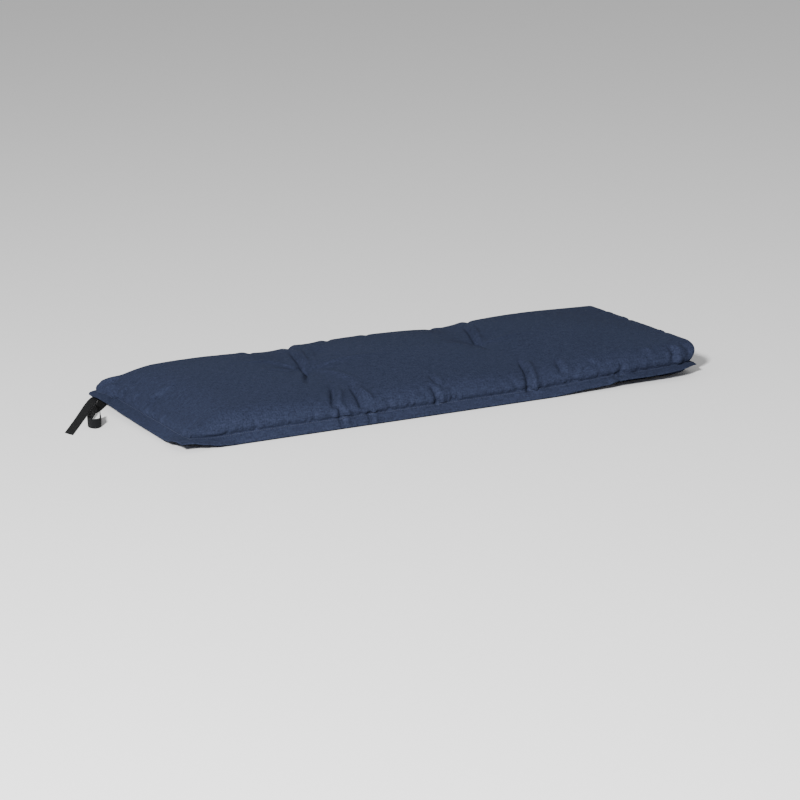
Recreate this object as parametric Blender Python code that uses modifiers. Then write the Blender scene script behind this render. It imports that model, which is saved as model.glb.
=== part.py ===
"""Bench cushion: one filled pad with a flat stitched border and two tufts, and four tape ties.

The frame has +X along the cushion's length, +Y towards the rear edge, where the ties are, and
+Z up. The origin is the centre of the flat underside. Sizes are in metres.
"""
import math

import bmesh
import bpy
import numpy as np
from mathutils import Vector

# Driving sizes of the pad
SEAM = {"left": -0.582, "right": 0.570, "front": -0.225, "rear": 0.224}
SEAM_HEIGHT = 0.027           # the seam's height above the underside
LEFT_SEAM_DROP = 0.006        # how much lower the seam runs along the left end
BORDER_WIDTH = 0.028          # flat stitched border outside the seam, along the cloth
BORDER_THICKNESS = 0.0034     # measured upright through the sloping border
RIM_HEIGHT = 0.066            # top of the pad where the steep sides end
CROWN = 0.006                 # extra height at the middle of the top
CROWN_END_POWER = 4           # how far along the pad the crown keeps its height
PUFF = 0.004                  # extra height midway between two tufts
LEFT_DROP = 0.013             # how much lower the top is at the left end
LEFT_DROP_START = -0.470
LEFT_DROP_RUN = 0.090
RIGHT_LIFT = 0.005            # how much higher the top is at the right end
SIDE_POWER = 3.0              # how square the shoulder of a side is
CORNER_POWER = 5.0            # how square the pad is where two sides meet
SIDE_BULGE = 0.007            # how far a side swells out over the seam
UNDER_RADIUS = 0.034          # width of the underside's curve from the seam to the flat base

# The tufts, where a stitch draws the top down
TUFTS = (
    # x, y, depth, spread
    (-0.222, 0.004, 0.020, 0.046),
    (0.196, 0.022, 0.015, 0.042),
)
TUFT_POWER = 1.3              # under 2, a tuft is a pointed dimple
TUFT_VALLEY_DEPTH = 0.005     # valley across the pad through each tuft
TUFT_VALLEY_SPREAD = 0.055

# Width of each side's shoulder, from its seam to the top
SHOULDER = {"left": 0.062, "right": 0.034, "front": 0.046, "rear": 0.036}

# Height of the border's outer edge along each side, middle of its thickness
FRONT_EDGE = (
    # x, height
    (-0.600, 0.020),
    (-0.550, 0.011),
    (-0.510, 0.003),
    (0.220, 0.003),
    (0.310, 0.011),
    (0.450, 0.019),
    (0.600, 0.024),
)
REAR_EDGE = (
    # x, height
    (-0.600, 0.0125),
    (-0.560, 0.0125),
    (-0.460, 0.004),
    (0.400, 0.004),
    (0.500, 0.0125),
    (0.600, 0.0125),
)
LEFT_EDGE = (
    # y, height
    (-0.240, 0.020),
    (-0.190, 0.009),
    (-0.150, 0.003),
    (0.060, 0.004),
    (0.140, 0.0125),
    (0.240, 0.0125),
)
RIGHT_EDGE = (
    # y, height
    (-0.240, 0.024),
    (-0.100, 0.009),
    (0.000, 0.004),
    (0.060, 0.004),
    (0.140, 0.0125),
    (0.240, 0.0125),
)

# How finely the pad is divided
BORDER_ROWS = 2
SHOULDER_ROWS = 6
LENGTH_ROWS = 34
WIDTH_ROWS = 14
LEAST_SHARE = 1e-9            # stands in for a border share of nothing

# The ties
TAPE_WIDTH = 0.020
TAPE_THICKNESS = 0.0012
TAPE_STEPS = 36               # pieces along one tail
TAPE_CUT = 0.009              # how much longer one edge of a tail's slanted end is
TAPE_CUT_POWER = 8            # how close to the end of a tail the slant stays
CURVE_STEPS = 12              # points on a tail's smooth curve for each row of its table
GAP = 0.0003
ON_TABLE = GAP + TAPE_THICKNESS / 2
UNDER_BORDER = 0.0096         # middle of the upper tape where it is sewn under the border
UPRIGHT = -88.0               # roll of a tape that stands on its edge, in degrees

# Each tail's middle line. The height is that of its lowest edge, and roll turns the tape
# from lying flat towards standing on its edge: a negative roll lifts its left edge.
LEFT_STRAIGHT = (
    # x, y, height, roll
    (-0.5870, 0.2330, UNDER_BORDER, 0.0),
    (-0.6060, 0.2180, 0.0093, 0.0),
    (-0.6320, 0.1830, 0.0066, 0.0),
    (-0.6590, 0.1430, 0.0024, 0.0),
    (-0.6870, 0.0980, ON_TABLE, 0.0),
    (-0.7150, 0.0520, ON_TABLE, 0.0),
    (-0.7410, 0.0100, ON_TABLE, 0.0),
)
LEFT_BENT = (
    # x, y, height, roll
    (-0.5830, 0.2250, UNDER_BORDER - TAPE_THICKNESS - GAP, 0.0),
    (-0.5985, 0.1960, 0.0044, 0.0),
    (-0.6180, 0.1660, 0.0014, -26.0),
    (-0.6380, 0.1300, ON_TABLE, UPRIGHT),
    (-0.6590, 0.0950, ON_TABLE, UPRIGHT),
    (-0.6790, 0.0620, ON_TABLE, UPRIGHT),
    (-0.6890, 0.0380, ON_TABLE, UPRIGHT),
    (-0.6820, 0.0200, ON_TABLE, UPRIGHT),
    (-0.6670, 0.0260, ON_TABLE, UPRIGHT),
    (-0.6580, 0.0500, ON_TABLE, UPRIGHT),
    (-0.6470, 0.0820, ON_TABLE, UPRIGHT),
)
RIGHT_STRAIGHT = (
    # x, y, height, roll
    (0.5880, 0.2330, UNDER_BORDER, 0.0),
    (0.5800, 0.2570, 0.0090, 0.0),
    (0.5600, 0.2890, 0.0040, 0.0),
    (0.5300, 0.3250, ON_TABLE, 0.0),
    (0.4920, 0.3570, ON_TABLE, 0.0),
    (0.4500, 0.3850, ON_TABLE, 0.0),
    (0.4070, 0.4090, ON_TABLE, 0.0),
)
RIGHT_BENT = (
    # x, y, height, roll
    (0.5800, 0.2270, UNDER_BORDER - TAPE_THICKNESS - GAP, 0.0),
    (0.5560, 0.2440, 0.0044, 0.0),
    (0.5300, 0.2640, 0.0014, -26.0),
    (0.4980, 0.2900, ON_TABLE, UPRIGHT),
    (0.4620, 0.3080, ON_TABLE, UPRIGHT),
    (0.4260, 0.3220, ON_TABLE, UPRIGHT),
    (0.3980, 0.3240, ON_TABLE, UPRIGHT),
    (0.3820, 0.3100, ON_TABLE, UPRIGHT),
    (0.3920, 0.2950, ON_TABLE, UPRIGHT),
    (0.4180, 0.2900, ON_TABLE, UPRIGHT),
    (0.4480, 0.2860, ON_TABLE, UPRIGHT),
)

CLOTH_BLUE = (0.036, 0.058, 0.105, 1.0)
TAPE_CHARCOAL = (0.020, 0.021, 0.024, 1.0)
CLOTH_ROUGHNESS = 0.9
TAPE_ROUGHNESS = 0.8


def clear_scene():
    for obj in list(bpy.data.objects):
        bpy.data.objects.remove(obj, do_unlink=True)


def make_collection(name):
    collection = bpy.data.collections.new(name)
    bpy.context.scene.collection.children.link(collection)
    return collection


def make_material(name, color, roughness):
    material = bpy.data.materials.new(name)
    material.use_nodes = True
    shader = material.node_tree.nodes["Principled BSDF"]
    shader.inputs["Base Color"].default_value = color
    shader.inputs["Roughness"].default_value = roughness
    shader.inputs["Metallic"].default_value = 0.0
    material.diffuse_color = color
    return material


def place(obj, collection, material):
    obj.data.materials.append(material)
    for polygon in obj.data.polygons:
        polygon.use_smooth = True
    collection.objects.link(obj)
    return obj


def edge_height(table, position):
    """Height of the border's outer edge, read smoothly from one side's table."""
    columns = np.array(table)
    share = np.interp(position, columns[:, 0], np.arange(len(table)))
    first = min(int(share), len(table) - 2)
    blend = smooth_step(share - first)
    return columns[first, 1] * (1.0 - blend) + columns[first + 1, 1] * blend


def smooth_step(share):
    share = min(max(share, 0.0), 1.0)
    return share * share * (3.0 - 2.0 * share)


def left_end(x):
    """0 over most of the pad and 1 at its left end."""
    return smooth_step((LEFT_DROP_START - x) / LEFT_DROP_RUN)


def seam_height(x):
    return SEAM_HEIGHT - LEFT_SEAM_DROP * left_end(x)


def stations(low_side, high_side, rows):
    """Grid lines across the pad: (place, border share, rise share, swell), low side first.

    The border share is 0 at the seam and 1 at the outer edge. The rise share is 0 at the
    seam and 1 where the shoulder meets the top. The swell is how far a side stands out there.
    """
    lines = []
    for row in range(BORDER_ROWS):
        lines.append((SEAM[low_side], 1.0 - row / BORDER_ROWS, 0.0, 0.0))
    for row in range(SHOULDER_ROWS):
        lines.append(shoulder_station(low_side, row, 1.0))
    start = SEAM[low_side] + SHOULDER[low_side]
    end = SEAM[high_side] - SHOULDER[high_side]
    for row in range(rows + 1):
        lines.append((start + (end - start) * row / rows, 0.0, 1.0, 0.0))
    for row in reversed(range(SHOULDER_ROWS)):
        lines.append(shoulder_station(high_side, row, -1.0))
    for row in reversed(range(BORDER_ROWS)):
        lines.append((SEAM[high_side], 1.0 - row / BORDER_ROWS, 0.0, 0.0))
    return lines


def shoulder_station(side, row, inward):
    """One line on a side: a superellipse from upright at the seam to level at the top."""
    angle = math.pi / 2 * row / SHOULDER_ROWS
    inset = SHOULDER[side] * (1.0 - math.cos(angle) ** (2.0 / SIDE_POWER))
    swell = SIDE_BULGE * math.sin(2.0 * angle)
    rise = math.sin(angle) ** (2.0 / SIDE_POWER)
    return (SEAM[side] + inward * inset, 0.0, rise, -inward * swell)


def top_height(x, y):
    """Height of the top before the sides take it down: crown, puffs, valleys and tufts."""
    across = max(0.0, 1.0 - (y / SEAM["rear"]) ** 2)
    along = max(0.0, 1.0 - (x / SEAM["right"]) ** CROWN_END_POWER)
    height = RIM_HEIGHT + CROWN * across * along - LEFT_DROP * left_end(x)
    height += RIGHT_LIFT * smooth_step(x / SEAM["right"])
    for tuft_x, tuft_y, depth, spread in TUFTS:
        valley = math.exp(-((x - tuft_x) / TUFT_VALLEY_SPREAD) ** 2)
        height -= TUFT_VALLEY_DEPTH * valley
        reach = math.hypot(x - tuft_x, y - tuft_y) / spread
        height -= depth * math.exp(-reach ** TUFT_POWER)
    tuft_places = [SEAM["left"]] + [tuft[0] for tuft in TUFTS] + [SEAM["right"]]
    for low, high in zip(tuft_places, tuft_places[1:]):
        if low < x < high:
            height += PUFF * math.sin(math.pi * (x - low) / (high - low)) ** 2
    return height


def border_point(line_x, line_y):
    """A point of the border's middle sheet: it leaves the seam and slants to its edge."""
    x, out_x = line_x[:2]
    y, out_y = line_y[:2]
    end_table = LEFT_EDGE if x < 0.0 else RIGHT_EDGE
    side_table = FRONT_EDGE if y < 0.0 else REAR_EDGE
    end_height = edge_height(end_table, y)
    side_height = edge_height(side_table, x)
    total = max(out_x + out_y, LEAST_SHARE)
    outer = (end_height * out_x + side_height * out_y) / total
    out = max(out_x, out_y)
    seam = seam_height(x)
    height = seam + (outer - seam) * out
    end_run = math.sqrt(BORDER_WIDTH ** 2 - (seam - end_height) ** 2)
    side_run = math.sqrt(BORDER_WIDTH ** 2 - (seam - side_height) ** 2)
    run_x = out_x * end_run * math.copysign(1.0, x)
    run_y = out_y * side_run * math.copysign(1.0, y)
    return Vector((x + run_x, y + run_y, height))


def meeting_sides(rise_x, rise_y):
    """The rise where two sides meet: a soft minimum of the two."""
    if min(rise_x, rise_y) <= 0.0:
        return 0.0
    total = rise_x ** -CORNER_POWER + rise_y ** -CORNER_POWER - 1.0
    return total ** (-1.0 / CORNER_POWER)


def top_point(line_x, line_y):
    """A point of the top cover."""
    if line_x[1] > 0.0 or line_y[1] > 0.0:
        return border_point(line_x, line_y) + Vector((0.0, 0.0, BORDER_THICKNESS / 2))
    rise = meeting_sides(line_x[2], line_y[2])
    seam = seam_height(line_x[0]) + BORDER_THICKNESS / 2
    height = seam + (top_height(line_x[0], line_y[0]) - seam) * rise
    swell_x = line_x[3] * math.sqrt(line_y[2])
    swell_y = line_y[3] * math.sqrt(line_x[2])
    return Vector((line_x[0] + swell_x, line_y[0] + swell_y, height))


def bottom_point(line_x, line_y):
    """A point of the bottom cover: border, a short curve under the seam, then flat."""
    if line_x[1] > 0.0 or line_y[1] > 0.0:
        return border_point(line_x, line_y) - Vector((0.0, 0.0, BORDER_THICKNESS / 2))
    share_x = under_share(line_x[0], "left", "right")
    share_y = under_share(line_y[0], "front", "rear")
    seam = seam_height(line_x[0]) - BORDER_THICKNESS / 2
    return Vector((line_x[0], line_y[0], seam * max(share_x, share_y)))


def under_share(position, low_side, high_side):
    """1 at the seam and 0 where the underside is flat."""
    inset = min(position - SEAM[low_side], SEAM[high_side] - position) / UNDER_RADIUS
    if inset >= 1.0:
        return 0.0
    return (1.0 - inset) ** 2


def cover(bm, lines_x, lines_y, point):
    """One cover: a grid whose corners are moved to the points of its surface."""
    columns = len(lines_x) - 1
    rows = len(lines_y) - 1
    grid = bmesh.ops.create_grid(bm, x_segments=columns, y_segments=rows, size=1.0)
    for vert in grid["verts"]:
        column = round((vert.co.x + 1.0) / 2.0 * columns)
        row = round((vert.co.y + 1.0) / 2.0 * rows)
        vert.co = point(lines_x[column], lines_y[row])
    return grid["verts"]


def faces_between(bm, verts):
    """The faces whose corners are all among verts, in the mesh's own order."""
    chosen = set(verts)
    return [face for face in bm.faces if all(vert in chosen for vert in face.verts)]


def build_cushion(collection):
    """The top and bottom covers, joined all round at the border's outer edge."""
    lines_x = stations("left", "right", LENGTH_ROWS)
    lines_y = stations("front", "rear", WIDTH_ROWS)
    bm = bmesh.new()
    cover(bm, lines_x, lines_y, top_point)
    bottom = cover(bm, lines_x, lines_y, bottom_point)
    bmesh.ops.reverse_faces(bm, faces=faces_between(bm, bottom))
    rims = [edge for edge in bm.edges if edge.is_boundary]
    bmesh.ops.bridge_loops(bm, edges=rims)
    flat = [
        face for face in faces_between(bm, bottom)
        if all(vert.co.z == 0.0 for vert in face.verts)]
    bmesh.ops.dissolve_faces(bm, faces=flat)
    bmesh.ops.recalc_face_normals(bm, faces=bm.faces)
    mesh = bpy.data.meshes.new("cushion")
    bm.to_mesh(mesh)
    bm.free()
    cushion = bpy.data.objects.new("cushion", mesh)
    return place(cushion, collection, make_material("cloth_blue", CLOTH_BLUE, CLOTH_ROUGHNESS))


def smooth_route(table, steps):
    """Points read evenly from a smooth curve (Catmull-Rom) through a route's rows."""
    rows = np.array(table)
    before = rows[0] * 2.0 - rows[1]
    after = rows[-1] * 2.0 - rows[-2]
    knots = np.vstack([before, rows, after])
    fine = []
    for first in range(len(rows) - 1):
        a, b, c, d = knots[first:first + 4]
        for part in np.linspace(0.0, 1.0, CURVE_STEPS, endpoint=False):
            curve = 2.0 * b + (c - a) * part
            curve = curve + (2.0 * a - 5.0 * b + 4.0 * c - d) * part ** 2
            curve = curve + (3.0 * b - a - 3.0 * c + d) * part ** 3
            fine.append(curve / 2.0)
    fine.append(rows[-1])
    fine = np.array(fine)
    run = np.insert(np.cumsum(np.linalg.norm(np.diff(fine[:, :3], axis=0), axis=1)), 0, 0.0)
    even = np.linspace(0.0, run[-1], steps + 1)
    return np.stack([np.interp(even, run, fine[:, axis]) for axis in range(4)], axis=1)


def build_tail(name, table, collection, material):
    """One tail of tape: a strip that follows its route and rolls about it, then thickened."""
    route = smooth_route(table, TAPE_STEPS)
    bm = bmesh.new()
    grid = bmesh.ops.create_grid(bm, x_segments=TAPE_STEPS, y_segments=2, size=1.0)
    ahead = np.gradient(route[:, :2], axis=0)
    ahead = ahead / np.linalg.norm(ahead, axis=1, keepdims=True)
    for vert in grid["verts"]:
        step = round((vert.co.x + 1.0) / 2.0 * TAPE_STEPS)
        across = vert.co.y
        x, y, low, roll = route[step]
        low = max(low, ON_TABLE)
        lean = math.radians(max(roll, UPRIGHT))
        side = Vector((-ahead[step][1], ahead[step][0], 0.0)) * math.cos(lean)
        side.z = math.sin(lean)
        middle = Vector((x, y, low + TAPE_WIDTH / 2 * abs(math.sin(lean))))
        slant = across * TAPE_CUT * (step / TAPE_STEPS) ** TAPE_CUT_POWER
        forward = Vector((ahead[step][0], ahead[step][1], 0.0)) * slant
        vert.co = middle + side * (across * TAPE_WIDTH / 2) + forward
    mesh = bpy.data.meshes.new(name)
    bm.to_mesh(mesh)
    bm.free()
    tail = place(bpy.data.objects.new(name, mesh), collection, material)
    wall = tail.modifiers.new("tape_thickness", "SOLIDIFY")
    wall.thickness = TAPE_THICKNESS
    wall.offset = 0.0
    wall.use_even_offset = True
    return tail


def main():
    clear_scene()
    collection = make_collection("bench_cushion")
    build_cushion(collection)
    tape = make_material("tape_charcoal", TAPE_CHARCOAL, TAPE_ROUGHNESS)
    build_tail("tie_left_straight", LEFT_STRAIGHT, collection, tape)
    build_tail("tie_left_bent", LEFT_BENT, collection, tape)
    build_tail("tie_right_straight", RIGHT_STRAIGHT, collection, tape)
    build_tail("tie_right_bent", RIGHT_BENT, collection, tape)


main()
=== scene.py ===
"""Bench cushion: a filled pad with a flat stitched border, two tufts and four tape ties.

Sizes are in metres, or in millimetres where a table says so. +X runs along the cushion, +Y to
its rear edge, where the ties are, and +Z up. The origin is near the middle of the underside.
"""
import math

import bpy
import numpy as np
from bpy.props import FloatProperty, FloatVectorProperty, PointerProperty
from mathutils import Euler, Matrix, Vector


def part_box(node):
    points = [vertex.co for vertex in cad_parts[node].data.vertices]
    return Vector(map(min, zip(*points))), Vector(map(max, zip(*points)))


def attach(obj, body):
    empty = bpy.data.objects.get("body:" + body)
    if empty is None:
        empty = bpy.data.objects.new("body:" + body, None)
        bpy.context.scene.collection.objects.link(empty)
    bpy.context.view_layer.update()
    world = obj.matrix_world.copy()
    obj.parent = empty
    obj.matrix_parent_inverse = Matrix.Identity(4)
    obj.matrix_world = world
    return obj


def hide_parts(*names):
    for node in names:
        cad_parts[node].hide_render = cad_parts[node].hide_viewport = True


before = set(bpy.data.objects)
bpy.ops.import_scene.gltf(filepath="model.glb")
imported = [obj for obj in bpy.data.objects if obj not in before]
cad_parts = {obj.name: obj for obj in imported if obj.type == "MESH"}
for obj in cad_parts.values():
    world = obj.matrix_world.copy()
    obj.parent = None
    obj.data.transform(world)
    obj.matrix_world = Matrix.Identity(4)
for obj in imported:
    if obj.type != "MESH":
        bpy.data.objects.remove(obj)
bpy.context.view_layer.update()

bl_info = {
    "name": "Bench cushion",
    "version": (1, 0, 0),
    "blender": (4, 5, 0),
    "location": "3D View > Sidebar > Cushion",
    "description": "A filled bench cushion with a stitched border, tufts and tape ties",
    "category": "Add Mesh",
}

LOW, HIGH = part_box("cushion")
TINY = 1e-9
MILLIMETRE = 0.001

# The stitched seam that closes the filled part, measured in from the cushion's box
SEAM = {
    "left": LOW[0] + 0.0278,
    "right": HIGH[0] - 0.0278,
    "front": LOW[1] + 0.0278,
    "rear": HIGH[1] - 0.0267,
}
SEAM_HEIGHT = 0.027
LEFT_SEAM_DROP = 0.006        # how much lower the seam runs along the left end
# How much lower the seam runs along the front, and where that sets in before the middle
FRONT_DROP_START = -0.10
FRONT_DROP_RUN = 0.12
FRONT_SEAM_DROP = (
    # x, drop
    (-0.600, 0.000),
    (-0.480, 0.008),
    (0.200, 0.008),
    (0.380, 0.003),
    (0.600, 0.000),
)
# Each side's share of the border's width
BORDER_SHARE = {"left": 1.0, "right": 0.75, "front": 0.80, "rear": 0.95}
LEAST_RUN = 0.4               # least share of its width that the border stands out
LEFT_DROP = 0.013             # how much lower the top is at the left end
LEFT_DROP_START = -0.470
LEFT_DROP_RUN = 0.090
RIGHT_LIFT = 0.005            # how much higher the top is at the right end
# How square the shoulder of each side is, and its share of the swell over the seam
SIDE_POWER = {"left": 1.7, "right": 6.0, "front": 2.8, "rear": 2.8}
SIDE_SWELL = {"left": 0.1, "right": 1.0, "front": 1.0, "rear": 0.8}
PROFILE_STEPS = 600           # how finely a side's curve is measured
CORNER_POWER = 9.0            # how square the pad is where two sides meet
BULGE_PLACE = 0.72            # under 1, a side swells out most below half its height
UNDER_RADIUS = 0.034          # width of the underside's curve from the seam to the flat base
EDGE_TAPER = 0.45             # how much thinner the border's folded edge is
EDGE_TAPER_POWER = 6          # how close to the edge the border thins

# Width of each side's shoulder, from its seam to the top
SHOULDER = {"left": 0.074, "right": 0.008, "front": 0.044, "rear": 0.030}

# How much steeper the left side is near the rear
LEFT_TIGHTENING = 0.60
LEFT_TIGHT_START = 0.060
LEFT_TIGHT_RUN = 0.110
LEFT_TIGHT_REACH = 0.050

# How far the top of the right side leans out, and how far in the top follows
RIGHT_LEAN = 0.011
RIGHT_LEAN_REACH = 0.050

# How far the filling pushes the seam into its rear left corner, and its reach
CORNER_FILL = (-0.014, 0.011)
CORNER_FILL_REACH = 0.045

# The tufts, where a stitch draws the top down
TUFTS = (
    # x, y, depth, spread
    (-0.222, 0.004, 0.020, 0.042),
    (0.186, 0.016, 0.015, 0.038),
)
TUFT_POWER = 1.2              # under 2, a tuft is a pointed dimple
TUFT_VALLEY_DEPTH = 0.0045    # valley across the pad through each tuft
TUFT_VALLEY_SPREAD = 0.050
PUFF = 0.004                  # extra height midway between two tufts
CROWN_END_POWER = 4           # how far along the pad the crown keeps its height

# The crest along the top, through both tufts, where the cloth turns down to the front
CREST = (
    # x, y
    (-0.600, 0.010),
    (-0.222, 0.004),
    (-0.110, 0.000),
    (0.186, 0.000),
    (0.370, 0.000),
    (0.600, 0.010),
)
CREST_FALL = 0.013            # how far the top falls from the crest to the front shoulder
CREST_SHARPNESS = 0.022       # width of the crest's rounding

# Height of the border's outer edge along each side, middle of its thickness
FRONT_EDGE = (
    # x, height
    (-0.584, 0.017),
    (-0.556, 0.012),
    (-0.525, 0.006),
    (-0.490, 0.003),
    (0.220, 0.003),
    (0.310, 0.010),
    (0.352, 0.012),
    (0.376, 0.018),
    (0.450, 0.018),
    (0.600, 0.024),
)
REAR_EDGE = (
    # x, height
    (-0.584, 0.0125),
    (-0.566, 0.0210),
    (-0.545, 0.0200),
    (-0.500, 0.0100),
    (-0.440, 0.0040),
    (0.400, 0.004),
    (0.500, 0.0125),
    (0.600, 0.0125),
)
LEFT_EDGE = (
    # y, height
    (-0.226, 0.019),
    (-0.205, 0.017),
    (-0.180, 0.011),
    (-0.150, 0.008),
    (-0.050, 0.010),
    (0.060, 0.013),
    (0.140, 0.0170),
    (0.190, 0.0170),
    (0.226, 0.0125),
)
RIGHT_EDGE = (
    # y, height
    (-0.240, 0.024),
    (-0.100, 0.011),
    (0.000, 0.009),
    (0.060, 0.009),
    (0.140, 0.0125),
    (0.240, 0.0125),
)

# How far the cloth's corners are drawn inwards, by a pull that fades up the sides
PULL_FADE_POWER = 0.5
CORNER_PULL = (
    # the corner's x and y, the pull along each, and its reach
    (0.598, -0.253, -0.013, 0.021, 0.046),
    (-0.610, -0.253, 0.005, 0.006, 0.040),
    (0.598, 0.251, -0.004, -0.004, 0.030),
    (-0.610, 0.251, 0.001, -0.003, 0.030),
)

# Creases and ridges drawn into the cloth, in millimetres. Each follows points on the surface.
CREASES = (
    # points, depth, half width, ridge, ridge's side, fade at start, fade at end
    # the front face, left to right
    (((-230, -132, 66), (-250, -182, 63), (-267, -217, 52), (-269, -229, 35)),
     6, 6.2, 3.6, -1, 0.4, 0.2),
    (((-258, -222, 47), (-259, -230, 34), (-258, -230, 22)), 4.2, 5, 1.6, 1, 0.3, 0.1),
    (((-260, -229, 24), (-256, -231, 14), (-258, -240, 4)), 3.6, 4.8, 2.6, -1, 0.1, 0),
    (((-192, -137, 65), (-202, -180, 62), (-208, -217, 50), (-209, -228, 30)),
     6.4, 7, 0, -1, 0.4, 0.1),
    (((-193, -147, 64), (-190, -182, 62), (-185, -214, 54), (-183, -229, 34)),
     -4, 7.5, 0, -1, 0.35, 0.3),
    (((-196, -229, 26), (-193, -230, 16), (-196, -240, 4)), 3, 4.5, 2.8, -1, 0.1, 0),
    (((-24, -151, 70), (-31, -194, 67), (-29, -221, 52)), 3.6, 5.8, 1.6, -1, 0.5, 0.4),
    (((-47, -208, 62), (-44, -227, 47), (-42, -227, 24)), 4.6, 5.5, 2, -1, 0.4, 0),
    (((196, -140, 66), (184, -190, 62), (176, -217, 52), (171, -228, 34), (172, -226, 22)),
     7, 6.2, 4, -1, 0.35, 0),
    (((265, -168, 70), (254, -215, 58), (251, -228, 36)), 4.2, 6.4, 1.8, -1, 0.5, 0.3),
    (((324, -200, 70), (327, -226, 54)), 2.4, 8, 1, -1, 0.5, 0.5),
    (((398, -222, 52), (390, -229, 30)), 4, 5.6, 2, -1, 0.5, 0),
    (((520, -200, 70), (526, -224, 54), (515, -228, 34)), 4.2, 6.6, 3, -1, 0.4, 0.2),
    (((552, -196, 74), (560, -222, 56), (558, -228, 36)), 2, 6.6, 0.8, 1, 0.4, 0.2),
    (((470, -190, 74), (474, -222, 58)), -2.4, 8, 0, 1, 0.5, 0.5),
    (((372, -228, 26), (378, -238, 20), (380, -245, 14)), 3, 6, 1.6, 1, 0.1, 0),
    # the rear edge
    (((-265, 226, 45), (-265, 205, 66), (-262, 170, 68)), 3, 7, 1.2, 1, 0.1, 0.6),
    (((-170, 226, 45), (-172, 205, 66), (-176, 165, 68)), 3.6, 7.5, 1.4, -1, 0.1, 0.6),
    (((-77, 226, 45), (-80, 205, 68), (-86, 175, 70)), 2.6, 7, 1, 1, 0.1, 0.6),
    (((13, 226, 45), (12, 205, 70), (10, 180, 72)), 2.2, 6.5, 0.8, 1, 0.1, 0.6),
    (((160, 226, 45), (168, 205, 68), (178, 165, 69)), 3, 7.5, 1.2, -1, 0.1, 0.6),
    (((262, 226, 45), (262, 205, 70), (258, 170, 72)), 2.6, 7, 1, 1, 0.1, 0.6),
    # the right end
    (((572, -120, 34), (568, -110, 66), (545, -100, 72)), 3, 7.5, 1.2, 1, 0.1, 0.6),
    (((572, 30, 34), (568, 36, 66), (545, 42, 72)), 3.4, 8, 1.4, 1, 0.1, 0.6),
    (((572, 140, 34), (568, 134, 68), (548, 128, 74)), 2.4, 7, 1, -1, 0.1, 0.6),
    # through the left tuft
    (((-182, 180, 67), (-204, 95, 64), (-216, 45, 58), (-224, 4, 50)), 6.4, 6.8, 4, -1, 0.6, 0),
    (((-224, 4, 50), (-244, -45, 60), (-266, -90, 66), (-292, -146, 67)), 5.4, 6.6, 2, 1, 0, 0.7),
    (((-350, 88, 73), (-285, 60, 67), (-232, 16, 55)), -4.2, 7, 0, 1, 0.6, 0.1),
    (((-340, 10, 71), (-279, -12, 65), (-236, -4, 55)), -2.4, 9, 0, 1, 0.6, 0.2),
    (((-208, 4, 56), (-178, 10, 64), (-116, -3, 73), (-20, -12, 75)), -3, 12, 0, 1, 0.1, 0.7),
    (((-214, -4, 55), (-198, -48, 63), (-178, -114, 67), (-186, -180, 62)),
     -3.2, 11, 0, 1, 0.1, 0.5),
    (((-130, 150, 70), (-152, 90, 69), (-186, 36, 63)), 4.6, 15, 0, 1, 0.4, 0.5),
    # through the right tuft
    (((232, 160, 69), (212, 100, 67), (198, 60, 63), (186, 18, 56)), 6, 6.2, 3.4, -1, 0.5, 0),
    (((186, 14, 56), (176, -30, 66), (172, -80, 70)), 2.4, 8, 0, 1, 0, 0.6),
    (((196, 14, 60), (240, 0, 71), (320, -2, 76)), -2.2, 12, 0, 1, 0.1, 0.6),
    (((176, 10, 60), (130, -4, 70), (50, -10, 75)), -1.6, 12, 0, 1, 0.1, 0.6),
    # the left end
    (((-490, 22, 68), (-530, 22, 56), (-556, 20, 44), (-578, -4, 30), (-600, -12, 16)),
     -5.6, 4.6, -3, 1, 0.4, 0.3),
    (((-552, 206, 45), (-569, 179, 37), (-600, 126, 20)), -5.6, 4.6, -3, 1, 0.4, 0.3),
    (((-552, 90, 46), (-575, 78, 34)), -4.4, 4.6, 0, 1, 0.5, 0.4),
    (((-556, 150, 45), (-580, 118, 30)), 3.2, 5, 2, 1, 0.5, 0.4),
    (((-566, -20, 37), (-588, -46, 24)), -3, 4.6, 0, 1, 0.5, 0.4),
    (((-548, 190, 48), (-575, 212, 33), (-592, 224, 24)), 3.6, 6, 2, 1, 0.5, 0.2),
    (((-560, -60, 40), (-590, -90, 24)), -2.2, 7, 0, 1, 0.5, 0.4),
    (((-540, -175, 52), (-570, -196, 36), (-590, -206, 26)), 3.4, 6.8, 1.8, -1, 0.5, 0.2),
)

CREASE_MARGIN = 0.035         # how far round its points a crease is worked out
CREASE_FLATTENING = 0.7       # share of a point's height off the line that is left out
RIDGE_PLACE = 1.9             # how far beside its crease a ridge lies, in half widths
RIDGE_SPREAD = 1.3            # a ridge's half width, in half widths of its crease

# The gathers that the seam draws into the sides, with the range each is drawn from
GATHER_SEED = 11
GATHER_STEP = (0.008, 0.021)
GATHER_DEPTH = (0.0006, 0.0050)
GATHER_WIDTH = (0.0028, 0.0065)
GATHER_REACH = (0.008, 0.032)
GATHER_LEAN = 0.35
GATHER_DEPTH_POWER = 1.7      # over 1, most gathers are shallow
GATHER_REACH_POWER = 1.5      # over 1, most gathers are short
GATHER_WIDENING = 12.0        # share that a gather widens by for each metre of cloth
GATHER_FADE_POWER = 1.6
GATHER_START = 0.0035         # cloth beside the seam over which a gather sets in
GATHER_TOP = 0.09             # cloth past which there are no gathers
CORNER_RISE = 0.5             # rise of the other side under which a corner's gathers fade
BORDER_GATHER = 0.12          # how much of a gather shows in the border
SIDE_GATHER = {"left": 0.22, "right": 0.8, "front": 1.0, "rear": 1.0}

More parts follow.
